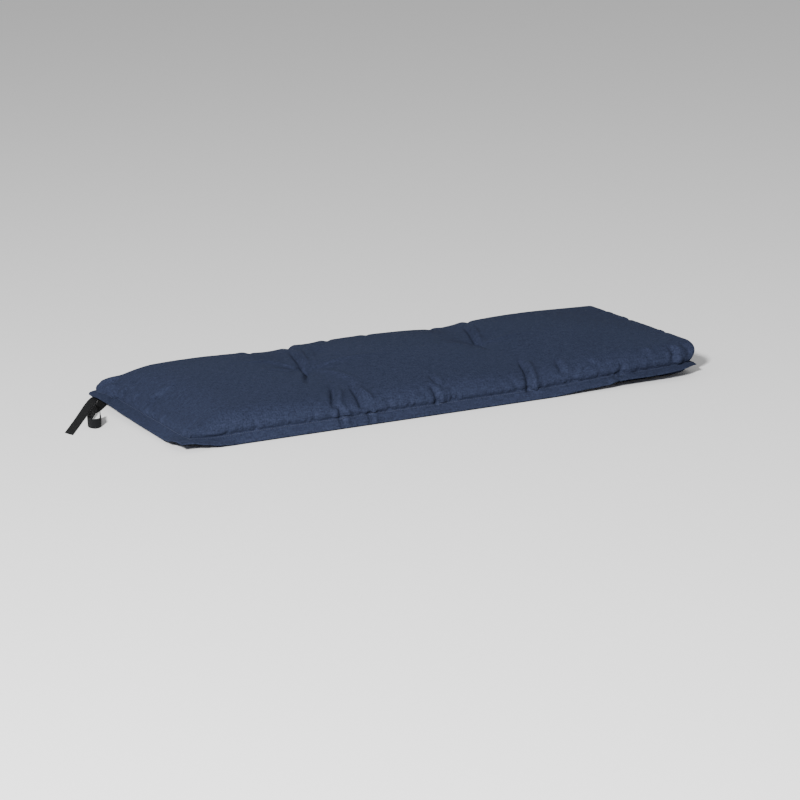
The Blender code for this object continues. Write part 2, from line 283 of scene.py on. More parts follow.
# The row of stitches along the seam
STITCH_OUT = 1                # rows of the border between the seam and the stitches
STITCH_PITCH = 0.0040
STITCH_LENGTH = 0.0030
STITCH_RADIUS = 0.00045
STITCH_AROUND = 6
STITCH_SECTIONS = (
    # place from end to end, share of the radius
    (-1.0, 0.3),
    (-0.7, 0.85),
    (0.0, 1.0),
    (0.7, 0.85),
    (1.0, 0.3),
)

# How finely the pad is divided. The cloth that settles has these rows, the finished top twice.
BORDER_ROWS = 6
SIDE_ROWS = 14
CLOTH_STEP = 0.0061
FINER = 2

# The settling of the filled cloth
SETTLE_FRAMES = 20
SETTLE_NOISE = 0.00004        # small unevenness that lets the cloth start to wrinkle
WEIGHT_STEPS = 50.0           # steps of a vertex group's weights
STRETCHING = 12.0
SHEARING = 4.0
BENDING = 0.02
SETTLE_CAP = 0.007            # how far a point of the cloth may move
BROAD_SHARE = 0.45            # how much of the broad swelling is kept
WRINKLE_SHARE = 1.2           # how much of the fine wrinkling is kept
BROAD_PASSES = 40
MOST_SLACK = 0.10             # most extra cloth anywhere, as a share
SEAM_SLACK = 0.06             # extra cloth near the seam, near a tuft and on the top
TUFT_SLACK = 0.03
TOP_SLACK = 0.012
SLACK_REACH = 0.045           # reach of the seam's extra cloth
TUFT_SLACK_REACH = 2.2        # reach of a tuft's extra cloth, in spreads of the tuft
TUFT_PINNED = 0.006           # radius of the cloth that a tuft's stitch holds

# Each tail's middle line. The height is that of its lowest edge, and roll turns the tape
# from lying flat towards standing on its edge: a negative roll lifts its left edge.
TAPE_WIDTH = 0.020
TAPE_THICKNESS = 0.0012
GAP = 0.0003
ON_TABLE = GAP + TAPE_THICKNESS / 2
UNDER_BORDER = 0.0096         # middle of the upper tape where it is sewn under the border
UPRIGHT = -88.0               # roll of a tape that stands on its edge, in degrees
TAPE_CUT = 0.009              # how much longer one edge of a tail's slanted end is
TAPE_CUT_POWER = 8            # how close to the end of a tail the slant stays
TAILS = {
    "tie_left_straight": (
        # x, y, height, roll
        (-0.5870, 0.2330, UNDER_BORDER, 0.0),
        (-0.6060, 0.2180, 0.0093, 0.0),
        (-0.6320, 0.1830, 0.0066, 0.0),
        (-0.6590, 0.1430, 0.0024, 0.0),
        (-0.6870, 0.0980, ON_TABLE, 0.0),
        (-0.7150, 0.0520, ON_TABLE, 0.0),
        (-0.7410, 0.0100, ON_TABLE, 0.0),
    ),
    "tie_left_bent": (
        (-0.5830, 0.2250, UNDER_BORDER - TAPE_THICKNESS - GAP, 0.0),
        (-0.5985, 0.1960, 0.0044, 0.0),
        (-0.6180, 0.1660, 0.0014, -26.0),
        (-0.6380, 0.1300, ON_TABLE, UPRIGHT),
        (-0.6590, 0.0950, ON_TABLE, UPRIGHT),
        (-0.6790, 0.0620, ON_TABLE, UPRIGHT),
        (-0.6890, 0.0380, ON_TABLE, UPRIGHT),
        (-0.6820, 0.0200, ON_TABLE, UPRIGHT),
        (-0.6670, 0.0260, ON_TABLE, UPRIGHT),
        (-0.6580, 0.0500, ON_TABLE, UPRIGHT),
        (-0.6470, 0.0820, ON_TABLE, UPRIGHT),
    ),
    "tie_right_straight": (
        (0.5880, 0.2330, UNDER_BORDER, 0.0),
        (0.5800, 0.2570, 0.0090, 0.0),
        (0.5600, 0.2890, 0.0040, 0.0),
        (0.5300, 0.3250, ON_TABLE, 0.0),
        (0.4920, 0.3570, ON_TABLE, 0.0),
        (0.4500, 0.3850, ON_TABLE, 0.0),
        (0.4070, 0.4090, ON_TABLE, 0.0),
    ),
    "tie_right_bent": (
        (0.5800, 0.2270, UNDER_BORDER - TAPE_THICKNESS - GAP, 0.0),
        (0.5560, 0.2440, 0.0044, 0.0),
        (0.5300, 0.2640, 0.0014, -26.0),
        (0.4980, 0.2900, ON_TABLE, UPRIGHT),
        (0.4620, 0.3080, ON_TABLE, UPRIGHT),
        (0.4260, 0.3220, ON_TABLE, UPRIGHT),
        (0.3980, 0.3240, ON_TABLE, UPRIGHT),
        (0.3820, 0.3100, ON_TABLE, UPRIGHT),
        (0.3920, 0.2950, ON_TABLE, UPRIGHT),
        (0.4180, 0.2900, ON_TABLE, UPRIGHT),
        (0.4480, 0.2860, ON_TABLE, UPRIGHT),
    ),
}
TAPE_STEPS = 150
TAPE_AROUND = 28
CURVE_STEPS = 24              # points on a tail's smooth curve for each row of its table
# How square the tape's section is, across its width and its thickness: under 1 is squarer
WIDTH_POWER = 0.8
THICKNESS_POWER = 0.35
RIB_PITCH = 0.0011            # distance between two ribs across the tape
CORD_PITCH = 0.0016           # distance between two threads along it

# Where the main light comes from, as a direction
LIGHT_FROM = (-0.64, -0.69, 0.47)

# The camera
CAMERA_PLACE = (-2.521, -4.9194, 1.3863)
CAMERA_AZIMUTH = 27.04        # degrees from the rear towards the right
CAMERA_PITCH = 14.34          # degrees down
CAMERA_ROLL = -1.083
CAMERA_LENS = 122.554         # on a 36 mm sensor
CAMERA_SENSOR = 36.0


def smooth_step(share):
    """0 up to a share of 0, 1 from a share of 1, and an S-shaped curve between."""
    share = np.clip(share, 0.0, 1.0)
    return share * share * (3.0 - 2.0 * share)


def read_table(table, place):
    """Values read from a table, with a smooth step from each row to the next."""
    rows = np.array(table)
    share = np.interp(place, rows[:, 0], np.arange(len(rows)))
    first = np.minimum(share.astype(int), len(rows) - 2)
    blend = smooth_step(share - first)
    return rows[first, 1] * (1.0 - blend) + rows[first + 1, 1] * blend


def run_along(points):
    """Distance along a row of points, from the first to each."""
    return np.insert(np.cumsum(np.linalg.norm(np.diff(points, axis=0), axis=1)), 0, 0.0)


def left_end(x):
    """0 over most of the pad and 1 at its left end."""
    return smooth_step((LEFT_DROP_START - x) / LEFT_DROP_RUN)


def seam_height(x, y):
    """Height of the seam, lower along the left end and the front."""
    front = smooth_step((FRONT_DROP_START - y) / FRONT_DROP_RUN)
    return SEAM_HEIGHT - LEFT_SEAM_DROP * left_end(x) - read_table(FRONT_SEAM_DROP, x) * front


def side_profile(side, size, rows):
    """A side from its seam to the top: inset, rise and swell at even steps of cloth.

    Inset and rise follow a quarter of a superellipse, and the swell is a sine of the rise.
    """
    angle = np.linspace(0.0, math.pi / 2, PROFILE_STEPS)
    power = 2.0 / SIDE_POWER[side]
    inset = SHOULDER[side] * (1.0 - np.cos(angle) ** power)
    rise = np.sin(angle) ** power
    swell = size.side_bulge * SIDE_SWELL[side] * np.sin(math.pi * rise ** BULGE_PLACE)
    height = (size.rim_height - SEAM_HEIGHT) * rise
    run = np.hypot(np.diff(inset - swell), np.diff(height))
    run = np.insert(np.cumsum(run), 0, 0.0)
    even = np.linspace(0.0, run[-1], rows + 1)
    return [np.interp(even, run, column) for column in (inset, rise, swell)]


def pad_lines(low_side, high_side, size, finer):
    """The grid lines across the pad, from the low side's outer edge to the high side's.

    Each has its place, its share of the border (0 at the seam, 1 at the edge), its rise
    (0 at the seam, 1 on the top) and its swell.
    """
    border = np.arange(BORDER_ROWS * finer, 0, -1) / (BORDER_ROWS * finer)
    flat = np.zeros_like(border)
    parts = []
    for side, inward in ((low_side, 1.0), (high_side, -1.0)):
        inset, rise, swell = side_profile(side, size, SIDE_ROWS * finer)
        edge = np.stack([np.full_like(border, SEAM[side]), border, flat, flat])
        shoulder = np.stack([
            SEAM[side] + inward * inset, np.zeros_like(rise), rise, -inward * swell])
        parts.append(np.concatenate([edge, shoulder], axis=1))
    start, end = parts[0][0, -1], parts[1][0, -1]
    rows = round((end - start) / CLOTH_STEP) * finer
    middle = np.linspace(start, end, rows + 1)[1:-1]
    top = np.stack([middle, np.zeros_like(middle), np.ones_like(middle), np.zeros_like(middle)])
    return np.concatenate([parts[0], top, parts[1][:, ::-1]], axis=1)


def top_height(x, y, size):
    """Height of the top: rim, crown, fall to the front, puffs, valleys and tufts."""
    across = np.clip(1.0 - (y / SEAM["rear"]) ** 2, 0.0, None)
    along = np.clip(1.0 - (x / SEAM["right"]) ** CROWN_END_POWER, 0.0, None)
    height = size.rim_height + size.crown * across * along - LEFT_DROP * left_end(x)
    height = height + RIGHT_LIFT * smooth_step(x / SEAM["right"])
    before = read_table(CREST, x) - y
    soft = 0.5 * (before + np.sqrt(before ** 2 + CREST_SHARPNESS ** 2))
    height = height - CREST_FALL * along * soft / -SEAM["front"]
    for tuft_x, tuft_y, depth, spread in TUFTS:
        height = height - TUFT_VALLEY_DEPTH * np.exp(-((x - tuft_x) / TUFT_VALLEY_SPREAD) ** 2)
        reach = np.hypot(x - tuft_x, y - tuft_y) / spread
        height = height - depth * size.tuft_pull * np.exp(-reach ** TUFT_POWER)
    places = [SEAM["left"]] + [tuft[0] for tuft in TUFTS] + [SEAM["right"]]
    for low, high in zip(places, places[1:]):
        share = np.clip((x - low) / (high - low), 0.0, 1.0)
        height = height + PUFF * np.sin(math.pi * share) ** 2
    return height


def meeting_sides(rise_x, rise_y):
    """The rise where two sides meet: a soft minimum of the two."""
    low = np.minimum(rise_x, rise_y)
    total = np.maximum(rise_x, TINY) ** -CORNER_POWER + np.maximum(rise_y, TINY) ** -CORNER_POWER
    return np.where(low > 0.0, (total - 1.0) ** (-1.0 / CORNER_POWER), 0.0)


def pad_form(lines_x, lines_y, size, upper):
    """The upper or lower cover: points of a grid, as an array of columns, rows and axes.

    The border slants from the seam to the edge heights in the tables. Inside the seam the
    upper cover rises by the softly lesser of its two sides' rises to the top's height, and
    the lower cover curves down to the flat base.
    """
    x, out_x, rise_x, swell_x = (line[:, None] for line in lines_x)
    y, out_y, rise_y, swell_y = (line[None, :] for line in lines_y)
    end_edge = np.where(x < 0.0, read_table(LEFT_EDGE, y), read_table(RIGHT_EDGE, y))
    side_edge = np.where(y < 0.0, read_table(FRONT_EDGE, x), read_table(REAR_EDGE, x))
    seam = seam_height(x, y)
    edge = (end_edge * out_x + side_edge * out_y) / np.maximum(out_x + out_y, TINY)
    out = np.maximum(out_x, out_y)
    width_x = size.border_width * np.where(x < 0.0, BORDER_SHARE["left"], BORDER_SHARE["right"])
    width_y = size.border_width * np.where(y < 0.0, BORDER_SHARE["front"], BORDER_SHARE["rear"])
    flat_x = np.maximum(width_x ** 2 - (seam - end_edge) ** 2, (LEAST_RUN * width_x) ** 2)
    flat_y = np.maximum(width_y ** 2 - (seam - side_edge) ** 2, (LEAST_RUN * width_y) ** 2)
    run_x = out_x * np.sqrt(flat_x) * np.sign(x)
    run_y = out_y * np.sqrt(flat_y) * np.sign(y)
    half = size.border_thickness / 2 * (1.0 - EDGE_TAPER * out ** EDGE_TAPER_POWER)
    border = seam + (edge - seam) * out
    if upper:
        rise = meeting_sides(rise_x, rise_y)
        border_z = border + half
        inner_z = seam + half + (top_height(x, y, size) - seam - half) * rise
        push_x = swell_x * np.sqrt(rise_y)
        push_y = swell_y * np.sqrt(rise_x)
    else:
        share_x = np.minimum(x - SEAM["left"], SEAM["right"] - x) / UNDER_RADIUS
        share_y = np.minimum(y - SEAM["front"], SEAM["rear"] - y) / UNDER_RADIUS
        share = np.clip(np.minimum(share_x, share_y), 0.0, 1.0)
        border_z = border - half
        inner_z = (seam - half) * (1.0 - share) ** 2
        push_x = push_y = 0.0
    height = np.where(out > 0.0, border_z, inner_z)
    from_left = np.maximum(x - SEAM["left"], 0.0)
    tight = LEFT_TIGHTENING * smooth_step((y - LEFT_TIGHT_START) / LEFT_TIGHT_RUN)
    push_x = push_x - from_left * tight * np.exp(-from_left / LEFT_TIGHT_REACH)
    from_right = np.maximum(SEAM["right"] - x, 0.0)
    lean = RIGHT_LEAN * np.exp(-from_right / RIGHT_LEAN_REACH)
    push_x = push_x + (lean * meeting_sides(rise_x, rise_y) if upper else 0.0)
    plan_x, plan_y = np.broadcast_arrays(x + run_x + push_x, y + run_y + push_y)
    pull_x = pull_y = 0.0
    low_part = 1.0 - meeting_sides(rise_x, rise_y) ** PULL_FADE_POWER
    for corner_x, corner_y, inward_x, inward_y, reach in CORNER_PULL:
        near = np.exp(-(np.hypot(plan_x - corner_x, plan_y - corner_y) / reach) ** 2) * low_part
        pull_x = pull_x + inward_x * near
        pull_y = pull_y + inward_y * near
    from_corner = np.hypot(x - SEAM["left"], y - SEAM["rear"])
    fill = np.exp(-(from_corner / CORNER_FILL_REACH) ** 2) * (1.0 - out ** 2)
    plan_x = plan_x + pull_x + CORNER_FILL[0] * fill
    plan_y = plan_y + pull_y + CORNER_FILL[1] * fill
    return np.stack([plan_x, plan_y, height], axis=-1)


def grid_normals(points):
    """Outward normals of a grid, from the cross product of its two directions."""
    normals = np.cross(np.gradient(points, axis=0), np.gradient(points, axis=1))
    length = np.linalg.norm(normals, axis=-1, keepdims=True)
    return normals / np.maximum(length, TINY)


def grid_faces(columns, rows):
    """The four corners of every cell of a grid, turning anticlockwise seen from above."""
    index = np.arange(columns * rows).reshape(columns, rows)
    corners = (index[:-1, :-1], index[1:, :-1], index[1:, 1:], index[:-1, 1:])
    return np.stack([corner.ravel() for corner in corners], axis=1)


def grid_rim(columns, rows):
    """The numbers of a grid's border points, once round anticlockwise seen from above."""
    index = np.arange(columns * rows).reshape(columns, rows)
    return np.concatenate([
        index[:-1, 0], index[-1, :-1], index[:0:-1, -1], index[0, :0:-1]])


def finer_grid(values):
    """A grid with a point between every two, each the four-point cubic of its neighbours."""
    for axis in (0, 1):
        values = np.moveaxis(values, axis, 0)
        padded = np.concatenate([values[:1], values, values[-1:]])
        between = (9.0 * (padded[1:-2] + padded[2:-1]) - padded[:-3] - padded[3:]) / 16.0
        finer = np.empty((2 * len(values) - 1,) + values.shape[1:])
        finer[::2] = values
        finer[1::2] = between
        values = np.moveaxis(finer, 0, axis)
    return values


def gather_field(along, height, seed, size):
    """How far the seam's gathers draw a side in, at each place along it and height of cloth.

    Each gather is a narrow bell along the seam that fades with height and leans a little.
    """
    rng = np.random.default_rng(seed)
    length = along.max() - along.min()
    steps = rng.uniform(*GATHER_STEP, int(length / GATHER_STEP[0]))
    places = along.min() + np.cumsum(steps)
    places = places[places < along.max()]
    count = len(places)
    depth = rng.uniform(0.0, 1.0, count) ** GATHER_DEPTH_POWER
    depth = GATHER_DEPTH[0] + (GATHER_DEPTH[1] - GATHER_DEPTH[0]) * depth
    width = rng.uniform(*GATHER_WIDTH, count)
    reach = rng.uniform(0.0, 1.0, count) ** GATHER_REACH_POWER
    reach = GATHER_REACH[0] + (GATHER_REACH[1] - GATHER_REACH[0]) * reach
    lean = rng.uniform(-GATHER_LEAN, GATHER_LEAN, count)
    field = np.zeros(np.broadcast(along, height).shape)
    for row in range(count):
        spread = width[row] * (1.0 + GATHER_WIDENING * height)
        offset = (along - places[row] - lean[row] * height) / spread
        fade = np.exp(-(height / reach[row]) ** GATHER_FADE_POWER)
        field = field + size.gather * depth[row] * np.exp(-offset ** 2) * fade
    return field


def crease_field(points, normals, crease):
    """How far one crease moves each point along its normal.

    The trough is a bell of the distance to the crease's line, and the ridge is a bell beside
    it. Both fade towards the line's ends.
    """
    line, depth, width, ridge, ridge_side, fade_start, fade_end = crease
    line = np.array(line) * MILLIMETRE
    depth, width, ridge = depth * MILLIMETRE, width * MILLIMETRE, ridge * MILLIMETRE
    near = line.min(axis=0) - CREASE_MARGIN, line.max(axis=0) + CREASE_MARGIN
    inside = np.all((points > near[0]) & (points < near[1]), axis=-1)
    spots, facing = points[inside], normals[inside]
    lengths = np.linalg.norm(np.diff(line, axis=0), axis=1)
    runs = np.insert(np.cumsum(lengths), 0, 0.0)
    best = np.full(len(spots), np.inf)
    offset = np.zeros(len(spots))
    beyond = np.zeros(len(spots))
    share = np.zeros(len(spots))
    for row in range(len(lengths)):
        ahead = (line[row + 1] - line[row]) / lengths[row]
        along = (spots - line[row]) @ ahead
        held = np.clip(along, 0.0, lengths[row])
        away = spots - line[row] - held[:, None] * ahead
        off_surface = (away * facing).sum(axis=1, keepdims=True) * facing
        away = away - off_surface * CREASE_FLATTENING
        distance = np.linalg.norm(away, axis=1)
        closer = distance < best
        side = (away * np.cross(ahead, facing)).sum(axis=1)
        offset = np.where(closer, side, offset)
        beyond = np.where(closer, np.abs(along - held), beyond)
        share = np.where(closer, (runs[row] + held) / runs[-1], share)
        best = np.minimum(best, distance)
    fade = np.ones(len(spots))
    if fade_start > 0.0:
        fade = fade * smooth_step(share / fade_start)
    if fade_end > 0.0:
        fade = fade * smooth_step((1.0 - share) / fade_end)
    beside = np.hypot(offset - ridge_side * RIDGE_PLACE * width, beyond)
    move = -depth * np.exp(-(best / width) ** 2)
    move = move + ridge * np.exp(-(beside / (RIDGE_SPREAD * width)) ** 2)
    field = np.zeros(points.shape[:2])
    field[inside] = move * fade
    return field


def new_mesh_object(name, points, faces):
    """A mesh object in the scene, from an array of points and a list of faces."""
    mesh = bpy.data.meshes.new(name)
    mesh.from_pydata(points.tolist(), [], faces)
    mesh.update()
    obj = bpy.data.objects.new(name, mesh)
    bpy.context.scene.collection.objects.link(obj)
    return obj


def weigh(obj, name, weights):
    """A vertex group from an array of weights, rounded to even steps."""
    group = obj.vertex_groups.new(name=name)
    steps = np.round(weights * WEIGHT_STEPS).astype(int)
    for step in np.unique(steps):
        group.add(np.flatnonzero(steps == step).tolist(), float(step) / WEIGHT_STEPS, "REPLACE")


def settle(points, hold, slack, size):
    """The filled cloth after it has settled: pressure inside, extra cloth near the seam.

    A point with a hold of 1 stays, and one with less is drawn back to its place.
    """
    columns, rows = points.shape[:2]
    rng = np.random.default_rng(GATHER_SEED)
    start = points + rng.normal(0.0, SETTLE_NOISE, points.shape) * (hold < 1.0)[..., None]
    obj = new_mesh_object("settling", start.reshape(-1, 3), grid_faces(columns, rows).tolist())
    weigh(obj, "hold", hold.ravel())
    weigh(obj, "slack", slack.ravel())
    cloth = obj.modifiers.new("filling", "CLOTH")
    rules = cloth.settings
    rules.quality = 5
    rules.mass = 0.2
    rules.tension_stiffness = STRETCHING
    rules.compression_stiffness = STRETCHING
    rules.shear_stiffness = SHEARING
    rules.bending_stiffness = BENDING
    rules.use_pressure = True
    rules.uniform_pressure_force = size.pressure
    rules.vertex_group_mass = "hold"
    rules.pin_stiffness = 1.0
    rules.vertex_group_shrink = "slack"
    rules.shrink_min = 0.0
    rules.shrink_max = -MOST_SLACK
    rules.effector_weights.gravity = 0.0
    cloth.collision_settings.use_collision = False
    cloth.collision_settings.use_self_collision = False
    cloth.point_cache.frame_start = 1
    cloth.point_cache.frame_end = SETTLE_FRAMES
    scene = bpy.context.scene
    for step in range(1, SETTLE_FRAMES + 1):
        scene.frame_set(step)
    settled = obj.evaluated_get(bpy.context.evaluated_depsgraph_get())
    moved = np.empty(columns * rows * 3)
    settled.data.vertices.foreach_get("co", moved)
    mesh = obj.data
    bpy.data.objects.remove(obj, do_unlink=True)
    bpy.data.meshes.remove(mesh)
    scene.frame_set(1)
    return moved.reshape(points.shape)


def broad_part(values):
    """The broad part of a grid's values: three-point averages, taken many times."""
    for _ in range(BROAD_PASSES):
        for axis in (0, 1):
            values = np.moveaxis(values, axis, 0)
            padded = np.concatenate([values[:1], values, values[-1:]])
            values = np.moveaxis((padded[:-2] + 2.0 * values + padded[2:]) / 4.0, 0, axis)
    return values


def settled_move(lines_x, lines_y, size):
    """How far the settling cloth moves from the pad's form, capped, on the settling grid."""
    form = pad_form(lines_x, lines_y, size, True)
    x, y = form[..., 0], form[..., 1]
    out = np.maximum(lines_x[1][:, None], lines_y[1][None, :])
    rise = np.minimum(lines_x[2][:, None], lines_y[2][None, :])
    inset_x = np.minimum(x - SEAM["left"], SEAM["right"] - x)
    inset_y = np.minimum(y - SEAM["front"], SEAM["rear"] - y)
    inset = np.clip(np.minimum(inset_x, inset_y), 0.0, None)
    near_seam = np.exp(-(inset / SLACK_REACH) ** 2)
    near_tuft = np.zeros_like(x)
    pinned = (out > 0.0) | (rise <= 0.0)
    for tuft_x, tuft_y, _, spread in TUFTS:
        away = np.hypot(x - tuft_x, y - tuft_y)
        near_tuft = near_tuft + np.exp(-(away / (TUFT_SLACK_REACH * spread)) ** 2)
        pinned = pinned | (away < TUFT_PINNED)
    hold = np.where(pinned, 1.0, size.foam_hold)
    slack = (TOP_SLACK + SEAM_SLACK * near_seam + TUFT_SLACK * near_tuft) / MOST_SLACK
    moved = settle(form, hold, np.clip(slack, 0.0, 1.0), size) - form
    broad = broad_part(moved)
    moved = (broad * BROAD_SHARE + (moved - broad) * WRINKLE_SHARE) * (hold < 1.0)[..., None]
    length = np.linalg.norm(moved, axis=-1, keepdims=True)
    capped = SETTLE_CAP * np.tanh(length / SETTLE_CAP)
    return moved * capped / np.maximum(length, TINY)


def cloth_places(points):
    """Where each point lies on the flat cloth, by distance along the grid's middle lines."""
    middle_row = points[:, points.shape[1] // 2]
    middle_column = points[points.shape[0] // 2]
    along, across = run_along(middle_row), run_along(middle_column)
    grid = np.meshgrid(along - along[-1] / 2, across - across[-1] / 2, indexing="ij")
    return np.stack(grid, axis=-1)


def gather_move(lines_x, lines_y, places, size):
    """How far the gathers of all four sides draw each point of the upper cover in."""
    x, out_x, rise_x, _ = (line[:, None] for line in lines_x)
    y, out_y, rise_y, _ = (line[None, :] for line in lines_y)
    x, y = np.broadcast_arrays(x, y)
    seam = BORDER_ROWS * FINER
    side_run = {
        "left": np.abs(places[..., 0] - places[seam, 0, 0]),
        "right": np.abs(places[..., 0] - places[-seam - 1, 0, 0]),
        "front": np.abs(places[..., 1] - places[0, seam, 1]),
        "rear": np.abs(places[..., 1] - places[0, -seam - 1, 1]),
    }
    move = np.zeros(x.shape)
    for number, side in enumerate(SHOULDER):
        ends = side in ("left", "right")
        along = y if ends else x
        own_out, other_out = (out_x, out_y) if ends else (out_y, out_x)
        other_rise = rise_y if ends else rise_x
        run = side_run[side]
        body = smooth_step(run / GATHER_START) * smooth_step(other_rise / CORNER_RISE)
        body = body * (other_out <= 0.0)
        share = np.where(own_out > 0.0, BORDER_GATHER * (1.0 - own_out) ** 2, 1.0)
        on_side = (run < GATHER_TOP) & ((own_out > 0.0) | (out_x + out_y <= 0.0))
        field = gather_field(along, run, GATHER_SEED + number, size)
        move = move + np.where(on_side, field * body * share * SIDE_GATHER[side], 0.0)
    return move


def upper_cover(size):
    """The upper cover on its fine grid: the form, the settled cloth, gathers and creases."""
    coarse_x = pad_lines("left", "right", size, 1)
    coarse_y = pad_lines("front", "rear", size, 1)
    lines_x = pad_lines("left", "right", size, FINER)
    lines_y = pad_lines("front", "rear", size, FINER)
    points = pad_form(lines_x, lines_y, size, True)
    places = cloth_places(points)
    points = points + finer_grid(settled_move(coarse_x, coarse_y, size))
    normals = grid_normals(points)
    move = -gather_move(lines_x, lines_y, places, size)
    for crease in CREASES:
        move = move + size.crease * crease_field(points, normals, crease)
    return points + normals * move[..., None], places


def lower_cover(size):
    """The lower cover's points and faces, with one face for the whole flat base."""
    lines_x = pad_lines("left", "right", size, 1)
    lines_y = pad_lines("front", "rear", size, 1)
    points = pad_form(lines_x, lines_y, size, False)
    flat = points[..., 2] == 0.0
    columns = np.flatnonzero(flat.any(axis=1))
    rows = np.flatnonzero(flat.any(axis=0))
    index = np.arange(flat.size).reshape(flat.shape)
    base = index[columns[0]:columns[-1] + 1, rows[0]:rows[-1] + 1]
    rim = base.ravel()[grid_rim(*base.shape)]
    cells = grid_faces(*flat.shape)[:, ::-1]
    cells = cells[~flat.ravel()[cells].all(axis=1)]
    kept = np.ones(flat.size, dtype=bool)
    kept[base[1:-1, 1:-1]] = False
    number = np.cumsum(kept) - 1
    faces = number[cells].tolist() + [number[rim[::-1]].tolist()]
    return points.reshape(-1, 3)[kept], faces, number[grid_rim(*flat.shape)], kept


def make_stitches(points, normals):
    """The row of stitches along the seam: short rounded threads, half sunk into the cloth.

    Each has a few sides, and its radius swells from its ends to its middle.
    """
    inset = BORDER_ROWS * FINER - STITCH_OUT
    ring = points[inset:-inset, inset:-inset]
    order = grid_rim(*ring.shape[:2])
    path = ring.reshape(-1, 3)[order]
    facing = normals[inset:-inset, inset:-inset].reshape(-1, 3)[order]
    path = np.vstack([path, path[:1]])
    facing = np.vstack([facing, facing[:1]])
    run = run_along(path)
    count = int(run[-1] / STITCH_PITCH)
    even = (np.arange(count) + 0.5) * run[-1] / count
    centre = np.stack([np.interp(even, run, path[:, axis]) for axis in range(3)], axis=1)
    up = np.stack([np.interp(even, run, facing[:, axis]) for axis in range(3)], axis=1)
    up = up / np.linalg.norm(up, axis=1, keepdims=True)
    ahead = np.roll(centre, -1, axis=0) - np.roll(centre, 1, axis=0)
    ahead = ahead / np.linalg.norm(ahead, axis=1, keepdims=True)
    side = np.cross(up, ahead)
    place, radius = np.array(STITCH_SECTIONS).T
    radius = STITCH_RADIUS * radius
    turn = np.linspace(0.0, 2.0 * math.pi, STITCH_AROUND, endpoint=False)
    shape = (count, len(place), len(turn), 3)
    verts = np.broadcast_to(centre[:, None, None], shape).copy()
    verts += ahead[:, None, None] * (place * STITCH_LENGTH / 2)[None, :, None, None]
    verts += side[:, None, None] * (radius[:, None] * np.cos(turn))[None, :, :, None]
    verts += up[:, None, None] * (radius[:, None] * np.sin(turn))[None, :, :, None]
    index = np.arange(math.prod(shape[:3])).reshape(shape[:3])
    after = np.roll(index, -1, axis=2)
    quads = np.stack([index[:, :-1], index[:, 1:], after[:, 1:], after[:, :-1]], axis=-1)
    faces = quads[..., ::-1].reshape(-1, 4).tolist()
    faces += index[:, 0].tolist() + index[:, -1, ::-1].tolist()
    stitches = new_mesh_object("seam_stitches", verts.reshape(-1, 3), faces)
    stitches.data.shade_smooth()
    return stitches


def set_uv(mesh, places):
    """The cloth's own coordinates in metres, as a UV map."""
    corners = np.empty(len(mesh.loops), dtype=int)
    mesh.loops.foreach_get("vertex_index", corners)
    layer = mesh.uv_layers.new(name="cloth")
    layer.data.foreach_set("uv", places[corners].ravel())


def make_pad(size):
    """The cushion: the fine upper cover and the lower cover, joined round the border's edge."""
    upper, places = upper_cover(size)
    lower, lower_faces, lower_rim, kept = lower_cover(size)
    lower_places = places[::FINER, ::FINER].reshape(-1, 2)[kept]
    upper_count = upper.shape[0] * upper.shape[1]
    faces = grid_faces(*upper.shape[:2]).tolist()
    faces += [[corner + upper_count for corner in face] for face in lower_faces]
    fine = grid_rim(*upper.shape[:2])
    plain = lower_rim + upper_count
    after = np.roll(plain, -1)
    faces += np.stack([plain, after, np.roll(fine, -2)[::2], fine[1::2], fine[::2]], axis=1).tolist()
    points = np.concatenate([upper.reshape(-1, 3), lower])
    pad = new_mesh_object("cushion_pad", points, faces)
    set_uv(pad.data, np.concatenate([places.reshape(-1, 2), lower_places]))
    pad.data.shade_smooth()
    return pad, make_stitches(upper, grid_normals(upper))


def smooth_route(table, steps):
    """Points read evenly from a smooth curve (Catmull-Rom) through a route's rows."""
    rows = np.array(table)
    knots = np.vstack([rows[0] * 2.0 - rows[1], rows, rows[-1] * 2.0 - rows[-2]])
    part = np.linspace(0.0, 1.0, CURVE_STEPS, endpoint=False)[:, None]
    fine = []
    for first in range(len(rows) - 1):
        a, b, c, d = knots[first:first + 4]
        curve = 2.0 * b + (c - a) * part + (2.0 * a - 5.0 * b + 4.0 * c - d) * part ** 2
        fine.append((curve + (3.0 * b - a - 3.0 * c + d) * part ** 3) / 2.0)
    fine = np.vstack(fine + [rows[-1:]])
    run = run_along(fine[:, :3])
    even = np.linspace(0.0, run[-1], steps + 1)
    return np.stack([np.interp(even, run, fine[:, axis]) for axis in range(4)], axis=1), run[-1]


